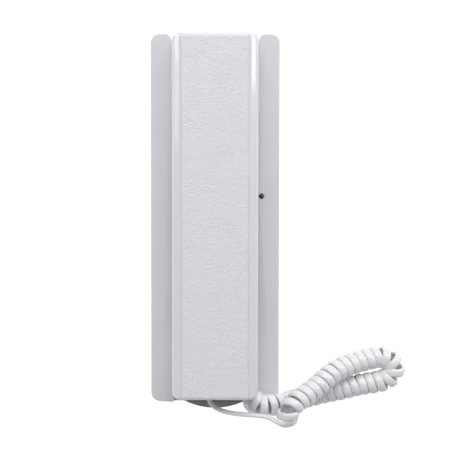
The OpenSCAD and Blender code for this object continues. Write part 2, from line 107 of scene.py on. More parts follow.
HANDSET_TAIL_ROUTE: tuple[Point, ...] = (
    (0.0418, -0.119, 0.0357), (0.0404, -0.1194, 0.0352), (0.0384, -0.1191, 0.0343),
    (0.036, -0.1179, 0.0334), (0.0325, -0.116, 0.0327),
    (0.0285, -0.1148, 0.0326), (0.023, -0.1142, 0.0324), (0.0175, -0.114, 0.0314),
    (0.0115, -0.1137, 0.0298), (0.0055, -0.1128, 0.028), (0.0, -0.1106, 0.0266),
    (-0.003, -0.1072, 0.026), (-0.003, -0.1048, 0.026),
)


# ---------------------------------------------------------------- shader kit


class Relief(Enum):
    """The kinds of fine relief that a finish can have."""

    LEATHER = "leather"
    SPARKED = "sparked"
    BRUSHED = "brushed"
    LACQUER = "lacquer"


class NodeDesk:
    """A short way to lay out nodes in one tree."""

    def __init__(self, tree: NodeTree) -> None:
        """Start on a tree.

        Args:
            tree: The tree that gets the nodes.
        """
        self.tree = tree

    def add(self, kind: str, settings: dict[str, Any] | None = None,
            **inputs: Any) -> Any:
        """Add a node.

        Args:
            kind: The node's type name.
            settings: Values of the node's own properties.
            **inputs: Socket values or sockets to link, keyed by socket name
                with spaces as underscores, or by i and a number.

        Returns:
            The new node.
        """
        node = self.tree.nodes.new(kind)
        for name, value in (settings or {}).items():
            setattr(node, name, value)
        for name, value in inputs.items():
            number = name[1:] if name[0] == "i" and name[1:].isdigit() else None
            socket = node.inputs[int(number)] if number else node.inputs[name.replace("_", " ")]
            if isinstance(value, bpy.types.NodeSocket):
                self.tree.links.new(value, socket)
            else:
                socket.default_value = value
        return node

    def ramp(self, value: Any, low: float, high: float, out_low: float,
             out_high: float) -> Any:
        """Map a value from one range to another, smoothly, and return the socket."""
        node = self.add("ShaderNodeMapRange",
                        {"interpolation_type": "SMOOTHSTEP", "clamp": True},
                        Value=value, From_Min=low, From_Max=high,
                        To_Min=out_low, To_Max=out_high)
        return node.outputs[0]

    def math(self, operation: str, first: Any, second: Any) -> Any:
        """Combine two values and return the socket."""
        return self.add("ShaderNodeMath", {"operation": operation},
                        i0=first, i1=second).outputs[0]


def make_group(name: str, inputs: dict[str, float], outputs: dict[str, str],
               fill: Callable[[NodeDesk, Any], dict[str, Any]]) -> NodeTree:
    """Build a shader node group once.

    Args:
        name: The group's name.
        inputs: Float inputs with their starting values. Each group also has
            a Vector input.
        outputs: Output names with their socket types.
        fill: Lays out the nodes, given the desk and the group's input node,
            and returns the socket of each output.

    Returns:
        The group's tree.
    """
    found = bpy.data.node_groups.get(name)
    if found:
        return found
    tree = bpy.data.node_groups.new(name, "ShaderNodeTree")
    tree.interface.new_socket("Vector", in_out="INPUT", socket_type="NodeSocketVector")
    for label, value in inputs.items():
        socket = tree.interface.new_socket(label, in_out="INPUT",
                                           socket_type="NodeSocketFloat")
        socket.default_value = value
    for label, kind in outputs.items():
        tree.interface.new_socket(label, in_out="OUTPUT", socket_type=kind)
    desk = NodeDesk(tree)
    source = desk.add("NodeGroupInput")
    made = fill(desk, source)
    desk.add("NodeGroupOutput", **{k.replace(" ", "_"): v for k, v in made.items()})
    return tree


def leather_grain() -> NodeTree:
    """The pressed leather grain: long pebbles parted by fine creases.

    Returns:
        A group with the inputs Vector, Pebble and Crease, and the outputs Height and Shade; Shade darkens
        the colour where the grain lies low, a painted shade in the creases.
    """
    def fill(desk: NodeDesk, source: Any) -> dict[str, Any]:
        """Lay out the grain's nodes and return its outputs."""
        stretch = desk.add("ShaderNodeVectorMath", {"operation": "MULTIPLY"},
                           i0=source.outputs["Vector"], i1=(0.5, 1.5, 1.0))
        bend = desk.add("ShaderNodeTexNoise", Vector=stretch.outputs[0], Scale=420.0,
                        Detail=2.0, Roughness=0.5)
        shift = desk.add("ShaderNodeVectorMath", {"operation": "SCALE"},
                         i0=bend.outputs["Color"])
        shift.inputs["Scale"].default_value = 0.0013
        warped = desk.add("ShaderNodeVectorMath", {"operation": "ADD"},
                          i0=stretch.outputs[0], i1=shift.outputs[0])
        cells = desk.add("ShaderNodeTexVoronoi", {"feature": "DISTANCE_TO_EDGE"},
                         Vector=warped.outputs[0], Scale=source.outputs["Pebble"])
        crease = desk.add("ShaderNodeMapRange", {"interpolation_type": "SMOOTHSTEP"},
                          Value=cells.outputs["Distance"], From_Min=0.0,
                          From_Max=source.outputs["Crease"], To_Min=0.0, To_Max=1.0)
        fine = desk.add("ShaderNodeTexNoise", Vector=warped.outputs[0], Scale=1500.0,
                        Detail=3.0, Roughness=0.6)
        broad = desk.add("ShaderNodeTexNoise", Vector=stretch.outputs[0], Scale=160.0,
                         Detail=2.0, Roughness=0.5)
        height = desk.math("ADD", crease.outputs[0],
                           desk.math("MULTIPLY", fine.outputs[0], 0.55))
        height = desk.math("ADD", height, desk.math("MULTIPLY", broad.outputs[0], 0.6))
        # The colour goes darker where the grain lies low: painted shade in the creases.
        shade = desk.ramp(height, 0.35, 1.7, 0.0, 1.0)
        return {"Height": height, "Shade": shade}

    return make_group("leather_grain", {"Pebble": 880.0, "Crease": 0.36},
                      {"Height": "NodeSocketFloat", "Shade": "NodeSocketFloat"}, fill)


def marks_and_edge_sheen() -> NodeTree:
    """Marks of use, faint smudges and specks of dust, and a painted edge highlight that makes convex edges
    paler.

    Returns:
        A group with the inputs Vector, Patch and Speck, and four outputs: the smudge, the dust, the painted
        edge highlight and the height.
    """
    def fill(desk: NodeDesk, source: Any) -> dict[str, Any]:
        """Lay out the nodes for marks of use and the painted edge highlight, and return its outputs."""
        smudge = desk.add("ShaderNodeTexNoise", Vector=source.outputs["Vector"],
                          Scale=source.outputs["Patch"], Detail=4.0, Roughness=0.55)
        specks = desk.add("ShaderNodeTexNoise", Vector=source.outputs["Vector"],
                          Scale=source.outputs["Speck"], Detail=2.0, Roughness=0.5)
        dust = desk.ramp(specks.outputs[0], 0.62, 0.78, 0.0, 1.0)
        shape = desk.add("ShaderNodeNewGeometry")
        # Paler on convex edges, found by pointiness: a painted edge highlight.
        edge_sheen = desk.ramp(shape.outputs["Pointiness"], 0.52, 0.62, 0.0, 1.0)
        return {"Smudge": desk.ramp(smudge.outputs[0], 0.3, 0.7, 0.0, 1.0),
                "Dust": dust, "Rub": edge_sheen, "Height": specks.outputs[0]}

    kinds = {k: "NodeSocketFloat" for k in ("Smudge", "Dust", "Rub", "Height")}
    return make_group("marks_and_edge_sheen", {"Patch": 35.0, "Speck": 2400.0}, kinds, fill)


@dataclass(frozen=True)
class Finish:
    """One finish of the telephone, with the values of its material.

    Attributes:
        name: The material's name.
        colour: Base colour, linear.
        roughness: Mean roughness.
        relief: The kind of fine relief.
        depth: Height of the relief in metres.
        metal: Metallic value.
        coat: Weight of a clear coat.
        tone: How much paler or darker the mottling goes; it also sets how much darker the leather grain's
            low creases are painted as shade and how much paler the painted edge highlight goes.
        gloss: Specular level.
        glow: Emission strength of the base colour.
    """

    name: str
    colour: RGB
    roughness: float
    relief: Relief = Relief.SPARKED
    depth: float = 0.00002
    metal: float = 0.0
    coat: float = 0.0
    tone: float = 0.03
    gloss: float = 0.5
    glow: float = 0.0

    def material(self) -> Material:
        """Build the material, or return the one built before."""
        found = bpy.data.materials.get(self.name)
        if found:
            return found
        made = bpy.data.materials.new(self.name)
        made.use_nodes = True
        made.diffuse_color = (*self.colour, 1.0)
        tree = made.node_tree
        tree.nodes.clear()
        desk = NodeDesk(tree)
        place = desk.add("ShaderNodeTexCoord").outputs["Object"]
        marks = desk.add("ShaderNodeGroup", {"node_tree": marks_and_edge_sheen()}, Vector=place)
        height, shade = self._relief(desk, place, marks)
        pale = tuple(min(1.0, c * (1 + self.tone)) for c in self.colour) + (1.0,)
        deep = tuple(c * (1 - self.tone) for c in self.colour) + (1.0,)
        # Mottling between deep and pale; on the leather grain, the low creases go deep as painted shade.
        body = desk.add("ShaderNodeMix", {"data_type": "RGBA"})
        tree.links.new(shade, body.inputs[0])
        body.inputs[6].default_value, body.inputs[7].default_value = deep, pale
        # Convex edges go towards the pale colour: a painted edge highlight.
        edge_lit = desk.add("ShaderNodeMix", {"data_type": "RGBA"})
        tree.links.new(desk.math("MULTIPLY", marks.outputs["Rub"], 0.35), edge_lit.inputs[0])
        tree.links.new(body.outputs[2], edge_lit.inputs[6])
        edge_lit.inputs[7].default_value = pale
        rough = desk.math("ADD", desk.ramp(marks.outputs["Smudge"], 0.0, 1.0,
                                           self.roughness * 0.9, self.roughness * 1.1),
                          desk.math("MULTIPLY", marks.outputs["Dust"], 0.08))
        bump = desk.add("ShaderNodeBump", Height=height, Strength=1.0, Distance=self.depth)
        shader = desk.add("ShaderNodeBsdfPrincipled", Base_Color=edge_lit.outputs[2],
                          Roughness=rough, Normal=bump.outputs[0])
        for label, value in (("Metallic", self.metal), ("Coat Weight", self.coat),
                             ("Specular IOR Level", self.gloss),
                             ("Coat Roughness", 0.06), ("IOR", 1.5)):
            shader.inputs[label].default_value = value
        if self.glow:
            shader.inputs["Emission Color"].default_value = (*self.colour, 1.0)
            shader.inputs["Emission Strength"].default_value = self.glow
        desk.add("ShaderNodeOutputMaterial", Surface=shader.outputs[0])
        return made

    def _relief(self, desk: NodeDesk, place: Any, marks: Any) -> tuple[Any, Any]:
        """Lay out the fine relief.

        Args:
            desk: The material's desk.
            place: The coordinates to read.
            marks: The node of the marks of use and of the painted edge highlight.

        Returns:
            The sockets of the height and of the shade.
        """
        if self.relief is Relief.LEATHER:
            grain = desk.add("ShaderNodeGroup", {"node_tree": leather_grain()}, Vector=place)
            return grain.outputs["Height"], grain.outputs["Shade"]
        if self.relief is Relief.BRUSHED:
            lines = desk.add("ShaderNodeVectorMath", {"operation": "MULTIPLY"},
                             i0=place, i1=(1.0, 14.0, 14.0))
            scratch = desk.add("ShaderNodeTexNoise", Vector=lines.outputs[0],
                               Scale=900.0, Detail=3.0, Roughness=0.6)
            return scratch.outputs[0], scratch.outputs[0]
        if self.relief is Relief.LACQUER:
            wave = desk.add("ShaderNodeTexNoise", Vector=place, Scale=260.0, Detail=1.0,
                            Roughness=0.4)
            return wave.outputs[0], marks.outputs["Smudge"]
        return marks.outputs["Height"], marks.outputs["Smudge"]


WHITE: RGB = (0.612, 0.608, 0.645)
FACE_GRAIN = Finish("leather_grained_face", (0.720, 0.715, 0.750), 0.52, Relief.LEATHER,
                    depth=0.00014, tone=0.035)
GLOSS_CASING = Finish("polished_casing", (0.690, 0.688, 0.722), 0.13, Relief.LACQUER,
                      depth=0.00001, tone=0.012, coat=0.35)
SATIN_CASING = Finish("satin_casing", WHITE, 0.42, Relief.SPARKED, depth=0.000012, tone=0.015)
CORD_VINYL = Finish("cord_vinyl", (0.735, 0.732, 0.752), 0.28, Relief.LACQUER,
                    depth=0.00002, tone=0.02, coat=0.2)
SMOKED_LENS = Finish("smoked_lens", (0.012, 0.012, 0.015), 0.16, Relief.LACQUER,
                     depth=0.000004, tone=0.2, coat=0.6)
# Dark grey of the chin lip: painted shade, standing in for the shadow under the handset's end on white
# plastic.
CHIN_SHADE_GREY = Finish("chin_painted_shade_grey", (0.27, 0.267, 0.29), 0.6, Relief.SPARKED,
                       depth=0.00003, tone=0.12, gloss=0.35)
KEY_PRINT = Finish("key_print", (0.03, 0.03, 0.035), 0.5, Relief.LACQUER, tone=0.1)
GOLD_BLADE = Finish("gold_blade", (0.83, 0.6, 0.25), 0.25, Relief.BRUSHED,
                    depth=0.000004, metal=1.0, tone=0.1)
SLOT_FINISHES: dict[str, Finish] = {
    "casing": SATIN_CASING,
    "key": Finish("key_cap", (0.42, 0.425, 0.44), 0.36, Relief.SPARKED, tone=0.03),
    "board": Finish("circuit_board", (0.03, 0.15, 0.06), 0.3, Relief.LACQUER,
                    depth=0.00003, tone=0.25, coat=0.3),
    "black_plastic": Finish("black_moulding", (0.028, 0.028, 0.03), 0.45, tone=0.15),
    "steel": Finish("zinc_steel", (0.62, 0.62, 0.63), 0.3, Relief.BRUSHED,
                    depth=0.000006, metal=1.0, tone=0.12),
    # The chin lip's slot takes the dark grey painted shade.
    "rubber": CHIN_SHADE_GREY,
    "lamp_lens": SMOKED_LENS,
    "jack_plastic": Finish("socket_moulding", (0.34, 0.345, 0.36), 0.38, tone=0.05),
    "lead": Finish("wire_insulation", (0.42, 0.03, 0.03), 0.4, Relief.LACQUER, tone=0.1),
    "cord": CORD_VINYL,
    "plug": Finish("plug_moulding", (0.62, 0.62, 0.66), 0.16, Relief.LACQUER,
                   depth=0.000006, tone=0.03, coat=0.4),
}


# ------------------------------------------------------------------ mesh kit


def catmull(points: Sequence[Vector], steps: int) -> list[Vector]:
    """Run a smooth line through points.

    Args:
        points: The points to pass.
        steps: How many short steps lie between two points.

    Returns:
        The points of the smooth line.
    """
    last = len(points) - 1
    line: list[Vector] = []
    for i in range(last):
        a, b = points[max(i - 1, 0)], points[i]
        c, d = points[i + 1], points[min(i + 2, last)]
        for k in range(steps):
            t = k / steps
            line.append(0.5 * (2 * b + (c - a) * t + (2 * a - 5 * b + 4 * c - d) * t * t
                               + (3 * b - a - 3 * c + d) * t ** 3))
    return line + [points[last].copy()]


def travelled(line: Sequence[Vector]) -> list[float]:
    """Return how far along the line each of its points lies."""
    out = [0.0]
    for a, b in zip(line, line[1:]):
        out.append(out[-1] + (b - a).length)
    return out


def smooth_step(low: float, high: float, value: float) -> float:
    """Return 0 below low, 1 above high, and a smooth change between."""
    t = min(1.0, max(0.0, (value - low) / (high - low)))
    return t * t * (3 - 2 * t)


def as_piece(bm: BMesh, name: str, finishes: Sequence[Finish],
             crease: float = 32.0, weighted: bool = True) -> Object:
    """Turn a bmesh into a finished piece with its place in its mesh.

    Args:
        bm: The bmesh, which is freed.
        name: The piece's name.
        finishes: The finishes of its material slots, in order.
        crease: Angle in degrees past which an edge stays sharp.
        weighted: Whether normals lean to the larger faces.

    Returns:
        The new object.
    """
    mesh = bpy.data.meshes.new(name)
    bm.to_mesh(mesh)
    bm.free()
    for finish in finishes:
        mesh.materials.append(finish.material())
    mesh.shade_smooth()
    mesh.set_sharp_from_angle(angle=math.radians(crease))
    piece = bpy.data.objects.new(name, mesh)
    bpy.context.scene.collection.objects.link(piece)
    if weighted:
        lean = piece.modifiers.new("lean_normals", "WEIGHTED_NORMAL")
        lean.keep_sharp = True
    return piece


def sharp_edges(bm: BMesh, angle: float,
                wanted: Callable[[Vector], bool] | None = None) -> list[Any]:
    """Find the edges that turn by more than an angle.

    Args:
        bm: The bmesh to search.
        angle: The angle in degrees.
        wanted: Says whether an edge counts, given its middle.

    Returns:
        The edges.
    """
    limit = math.radians(angle)
    return [e for e in bm.edges
            if len(e.link_faces) == 2 and e.calc_face_angle(0.0) > limit
            and (wanted is None or wanted((e.verts[0].co + e.verts[1].co) / 2))]


def round_edges(bm: BMesh, edges: Sequence[Any], radius: float, segments: int) -> None:
    """Round edges with a true fillet.

    Args:
        bm: The bmesh.
        edges: The edges to round.
        radius: The fillet's reach along each face.
        segments: How many steps the fillet has.
    """
    bmesh.ops.bevel(bm, geom=list(edges), offset=radius, offset_type="OFFSET",
                    segments=segments, profile=0.5, affect="EDGES", material=-1,
                    clamp_overlap=False, loop_slide=True, miter_outer="SHARP",
                    miter_inner="SHARP")


def moulded_copy(node: Object) -> BMesh:
    """Copy a frame node's mesh, merged and with its flat faces joined.

    Args:
        node: The frame node, which stays as it is.

    Returns:
        The bmesh.
    """
    bm = bmesh.new()
    bm.from_mesh(node.data)
    bmesh.ops.remove_doubles(bm, verts=bm.verts[:], dist=2e-6)
    bmesh.ops.dissolve_limit(bm, angle_limit=math.radians(0.6), use_dissolve_boundaries=False,
                             verts=bm.verts[:], edges=bm.edges[:], delimit={"NORMAL"})
    return bm


# ------------------------------------------------------------------ the cord


@dataclass
class CurlyCord:
    """The flat cord between the base and the handset, in one length.

    Attributes:
        width: Width of the flat cord.
        thickness: Thickness of the flat cord.
        coil_radius: From the coil's axis to the cord's middle.
        pitches: Pairs of a share of the coil and the pitch there.
        start_turn: Where round the coil the cord joins it, in turns from the top.
        per_turn: Rings of the mesh in one turn.
        sides: Sides of one ring.
        length: The real length, measured along the cord.
        closest: The least distance between two rings of the mesh.
        lift_from: Share of the coil up to which it stays with the base.
        lift_to: Share of the coil from which it goes with the handset.
        middles: The middles of the cord's rings.
        faces: The directions that its flat side looks in at the middles.
        shares: The middles' shares of the coil.
    """

    width: float = 0.005
    thickness: float = 0.0025
    coil_radius: float = 0.0053
    pitches: tuple[tuple[float, float], ...] = (
        (0.0, 0.0058), (0.12, 0.0052), (0.4, 0.0050), (0.5, 0.0054), (0.62, 0.0052),
        (0.85, 0.0053), (1.0, 0.0058))
    start_turn: float = 0.5
    per_turn: int = 32
    sides: int = 16
    # length: The real length, measured along the cord. Not used.
    length: float = 1.28
    closest: float = 0.00025
    lift_from: float = 0.60
    lift_to: float = 0.985
    middles: list[Vector] = field(default_factory=list)
    faces: list[Vector] = field(default_factory=list)
    shares: list[float] = field(default_factory=list)

    def pitch_at(self, share: float) -> float:
        """Return the coil's pitch at a share of its length."""
        for (a, low), (b, high) in zip(self.pitches, self.pitches[1:]):
            if share <= b:
                return low + (high - low) * (share - a) / (b - a)
        return self.pitches[-1][1]

    def wind(self) -> tuple[list[Vector], list[Vector], list[float]]:
        """Wind the curly stretch round its route.

        Returns:
            The cord's middles, the directions its flat face looks in, and
            each middle's share of the route.
        """
        axis = catmull([Vector(p) for p in COIL_ROUTE], 24)
        along = travelled(axis)
        total = along[-1]
        middles, looks, shares = [], [], []
        turn, s, i = self.start_turn, 0.0, 0
        while s < total:
            while i < len(along) - 2 and along[i + 1] < s:
                i += 1
            t = (s - along[i]) / (along[i + 1] - along[i])
            centre = axis[i].lerp(axis[i + 1], t)
            ahead = (axis[min(i + 3, len(axis) - 1)] - axis[max(i - 2, 0)]).normalized()
            right = ahead.cross(UP).normalized()
            over = right.cross(ahead)
            angle = 2 * math.pi * turn
            look = over * math.cos(angle) + right * math.sin(angle)
            middles.append(centre + look * self.coil_radius)
            looks.append(look)
            shares.append(s / total)
            turn += 1 / self.per_turn
            s += self.pitch_at(s / total) / self.per_turn
            if s >= total and (turn % 1.0) > 1 / self.per_turn:
                s = total * 0.999999 if (turn % 1.0) < 0.999 else total
                if len(middles) > 60 * self.per_turn:
                    break
        return middles, looks, shares

    def lay_out(self) -> None:
        """Join the two uncoiled ends and the curly stretch into one line."""
        middles, looks, shares = self.wind()
        first = catmull([Vector(p) for p in BASE_TAIL_ROUTE] + middles[:2], 8)[:-8]
        last = catmull(middles[-2:] + [Vector(p) for p in HANDSET_TAIL_ROUTE], 8)[9:]
        lean = Vector((0.8, 0.0, 0.6))
        first_looks = []
        reach = travelled(first)
        for i, p in enumerate(first):
            ahead = (first[min(i + 1, len(first) - 1)] - first[max(i - 1, 0)]).normalized()
            own = ahead.cross(lean - ahead * lean.dot(ahead)).normalized()
            start = 1 - smooth_step(0.001, 0.007, reach[i])
            end = smooth_step(reach[-1] - 0.012, reach[-1], reach[i])
            look = own * (1 - start) * (1 - end) + UP * start + looks[0] * end
            first_looks.append(look.normalized())
        last_looks = []
        reach = travelled(last)
        for i, p in enumerate(last):
            ahead = (last[min(i + 1, len(last) - 1)] - last[max(i - 1, 0)]).normalized()
            own = UP.cross(ahead).normalized()
            near = 1 - smooth_step(0.0, 0.009, reach[i])
            last_looks.append((own * (1 - near) + looks[-1] * near).normalized())
        line = list(zip(first + middles + last, first_looks + looks + last_looks,
                        [0.0] * len(first) + shares + [1.0] * len(last)))
        kept = line[:1]
        for spot in line[1:]:
            if (spot[0] - kept[-1][0]).length > self.closest:
                kept.append(spot)
        self.middles, self.faces, self.shares = (list(part) for part in zip(*kept))

    def build(self) -> Object:
        """Sweep the cord's flat section along its line.

        Returns:
            The cord, one closed mesh.
        """
        self.lay_out()
        bm = bmesh.new()
        count = len(self.middles)
        ring: list[Any] = []
        for i, (middle, look) in enumerate(zip(self.middles, self.faces)):
            ahead = (self.middles[min(i + 1, count - 1)]
                     - self.middles[max(i - 1, 0)]).normalized()
            across = ahead.cross(look).normalized()
            face = across.cross(ahead)
            spots = []
            for k in range(self.sides):
                a = 2 * math.pi * k / self.sides
                c, s = math.cos(a), math.sin(a)
                spots.append(middle
                             + across * (self.width / 2 * math.copysign(abs(c) ** 0.8, c))
                             + face * (self.thickness / 2 * math.copysign(abs(s) ** 0.8, s)))
            if not ring:
                ring = [bm.verts.new(p) for p in spots]
                bm.faces.new(ring)
                edges = [bm.edges.get((ring[k - 1], ring[k])) for k in range(self.sides)]
                continue
            swept = bmesh.ops.extrude_edge_only(bm, edges=edges)["geom"]
            fresh = [g for g in swept if isinstance(g, bmesh.types.BMVert)]
            edges = [g for g in swept if isinstance(g, bmesh.types.BMEdge)
                     and all(v in fresh for v in g.verts)]
            follow = {v: next(e.other_vert(v) for e in v.link_edges
                              if e.other_vert(v) not in fresh) for v in fresh}
            order = {v: k for k, v in enumerate(ring)}
            ring = sorted(fresh, key=lambda v: order[follow[v]])
            for v, p in zip(ring, spots):
                v.co = p
        bm.faces.new(ring[::-1])
        bmesh.ops.recalc_face_normals(bm, faces=bm.faces[:])
        cord = as_piece(bm, "curly_cord", [CORD_VINYL], crease=60.0, weighted=False)
        self.blend(cord)
        return cord

    def blend(self, cord: Object) -> None:
        """Let the cord follow the base at one end and the handset at the other.

        Args:
            cord: The cord's mesh, whose points are in the order of its rings.
        """
        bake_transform(cord, "base", "handset", start=tuple(self.middles[0]),
                 end=tuple(self.middles[-1]))
        weights = cord.data.attributes["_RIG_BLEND"].data
        for i, share in enumerate(self.shares):
            weight = smooth_step(self.lift_from, self.lift_to, share)
            for k in range(self.sides):
                weights[i * self.sides + k].value = weight

    def declare(self) -> None:
        """Hide the frame's coil and two tails, which the swept cord replaces.
        """
        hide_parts("cord_coil", "base_tail", "handset_tail")


# ---------------------------------------------------------------- the studio


@dataclass(frozen=True)
class SoftBox:
    """A plain soft light.

    Attributes:
        name: The light's name.
        place: Where it stands, in metres.
        aim: The point that it looks at.
        size: Its width and height.
        power: Its power in watts.
        colour: Its colour.
    """

    name: str
    place: Point
    aim: Point
    size: tuple[float, float]
    power: float
    colour: RGB = (1.0, 1.0, 1.0)

    def build(self) -> Object:
        """Put up the light, unseen by the camera, and return it."""
        lamp = bpy.data.lights.new(self.name, "AREA")
        lamp.shape = "RECTANGLE"
        lamp.size, lamp.size_y = self.size
        lamp.energy = self.power
        lamp.color = self.colour
        light = bpy.data.objects.new(self.name, lamp)
        light.location = self.place
        look = Vector(self.aim) - Vector(self.place)
        light.rotation_euler = look.to_track_quat("-Z", "Y").to_euler()
        light.visible_camera = False
        bpy.context.scene.collection.objects.link(light)
        return light


@dataclass
class Studio:
    """The camera, the pale floor and the soft lights.

    Attributes:
        eye: Where the camera stands.
        turn: How far the camera is turned, in degrees.
        lens: Its focal length in millimetres.
        floor_side: The floor's side.
        boxes: The lights.
    """

    eye: Point = (0.00153, 0.06437, 1.01255)
    turn: Point = (-3.997, -0.347, 0.08)
    lens: float = 133.23
    floor_side: float = 6.0
    boxes: tuple[SoftBox, ...] = (
        SoftBox("key_upper_right", (0.95, 0.58, 0.80), (0.0, 0.02, 0.02), (0.30, 0.30), 3.9),
        SoftBox("fill_upper_left", (-0.75, 0.25, 0.75), (0.0, 0.05, 0.02), (0.5, 0.5), 1.0),
        SoftBox("left_strip", (-0.70, 0.35, 0.13), (0.0, 0.10, 0.04), (0.50, 0.12), 1.0),
        SoftBox("left_strip_end", (-0.70, 0.065, 0.13), (0.0, 0.05, 0.04), (0.07, 0.12), 0.055),
        SoftBox("right_strip", (0.70, 0.325, 0.13), (0.0, 0.10, 0.04), (0.50, 0.12), 1.1),
        SoftBox("overhead", (0.0, 1.0, 1.1), (0.0, 0.0, 0.0), (1.1, 1.1), 15.0),
        SoftBox("lower_left", (-0.45, -0.95, 0.55), (0.0, -0.08, 0.02), (0.5, 0.5), 2.3),
    )

    def set_camera(self) -> None:
        """Stand the camera over the telephone."""
        data = bpy.data.cameras.new("overhead_camera")
        data.lens, data.sensor_width = self.lens, 36.0
        data.clip_start, data.clip_end = 0.05, 20.0
        camera = bpy.data.objects.new("overhead_camera", data)
        camera.location = self.eye
        camera.rotation_euler = [math.radians(a) for a in self.turn]
        bpy.context.scene.collection.objects.link(camera)
        bpy.context.scene.camera = camera

    def lay_floor(self) -> None:
        """Lay the pale floor under the telephone."""
        bm = bmesh.new()
        bmesh.ops.create_grid(bm, x_segments=1, y_segments=1, size=self.floor_side / 2)
        bmesh.ops.translate(bm, verts=bm.verts[:], vec=(0.0, 0.0, -0.0002))
        mesh = bpy.data.meshes.new("studio_floor")
        bm.to_mesh(mesh)
        bm.free()
        made = bpy.data.materials.new("pale_floor")
        made.use_nodes = True
        tree = made.node_tree
        tree.nodes.clear()
        desk = NodeDesk(tree)
        place = desk.add("ShaderNodeTexCoord").outputs["Object"]
        noise = desk.add("ShaderNodeTexNoise", Vector=place, Scale=30.0, Detail=2.0)
        rough = desk.ramp(noise.outputs[0], 0.3, 0.7, 0.75, 0.85)
        paper = desk.add("ShaderNodeBsdfPrincipled", Roughness=rough)
        paper.inputs["Base Color"].default_value = (0.86, 0.86, 0.87, 1.0)
        paper.inputs["Emission Color"].default_value = (1.0, 1.0, 1.0, 1.0)
        paper.inputs["Emission Strength"].default_value = 0.12
        bright = desk.add("ShaderNodeEmission")
        bright.inputs["Color"].default_value = (1.0, 1.0, 1.0, 1.0)
        bright.inputs["Strength"].default_value = 1.05
        seen = desk.add("ShaderNodeLightPath").outputs["Is Camera Ray"]
        mixed = desk.add("ShaderNodeMixShader", i0=seen, i1=paper.outputs[0],
                         i2=bright.outputs[0])
        desk.add("ShaderNodeOutputMaterial", Surface=mixed.outputs[0])
        mesh.materials.append(made)
        floor = bpy.data.objects.new("studio_floor", mesh)
        bpy.context.scene.collection.objects.link(floor)

    def light(self) -> None:
        """Put up the lights and the pale surroundings."""
        for box in self.boxes:
            box.build()
        world = bpy.data.worlds.new("pale_surroundings")
        world.use_nodes = True
        back = world.node_tree.nodes["Background"]
        back.inputs["Color"].default_value = (0.96, 0.97, 1.0, 1.0)
        back.inputs["Strength"].default_value = 0.26
        scene = bpy.context.scene
        scene.world = world
        scene.view_settings.view_transform = "Standard"
        scene.view_settings.look = "None"


# --------------------------------------------------------------- the handset


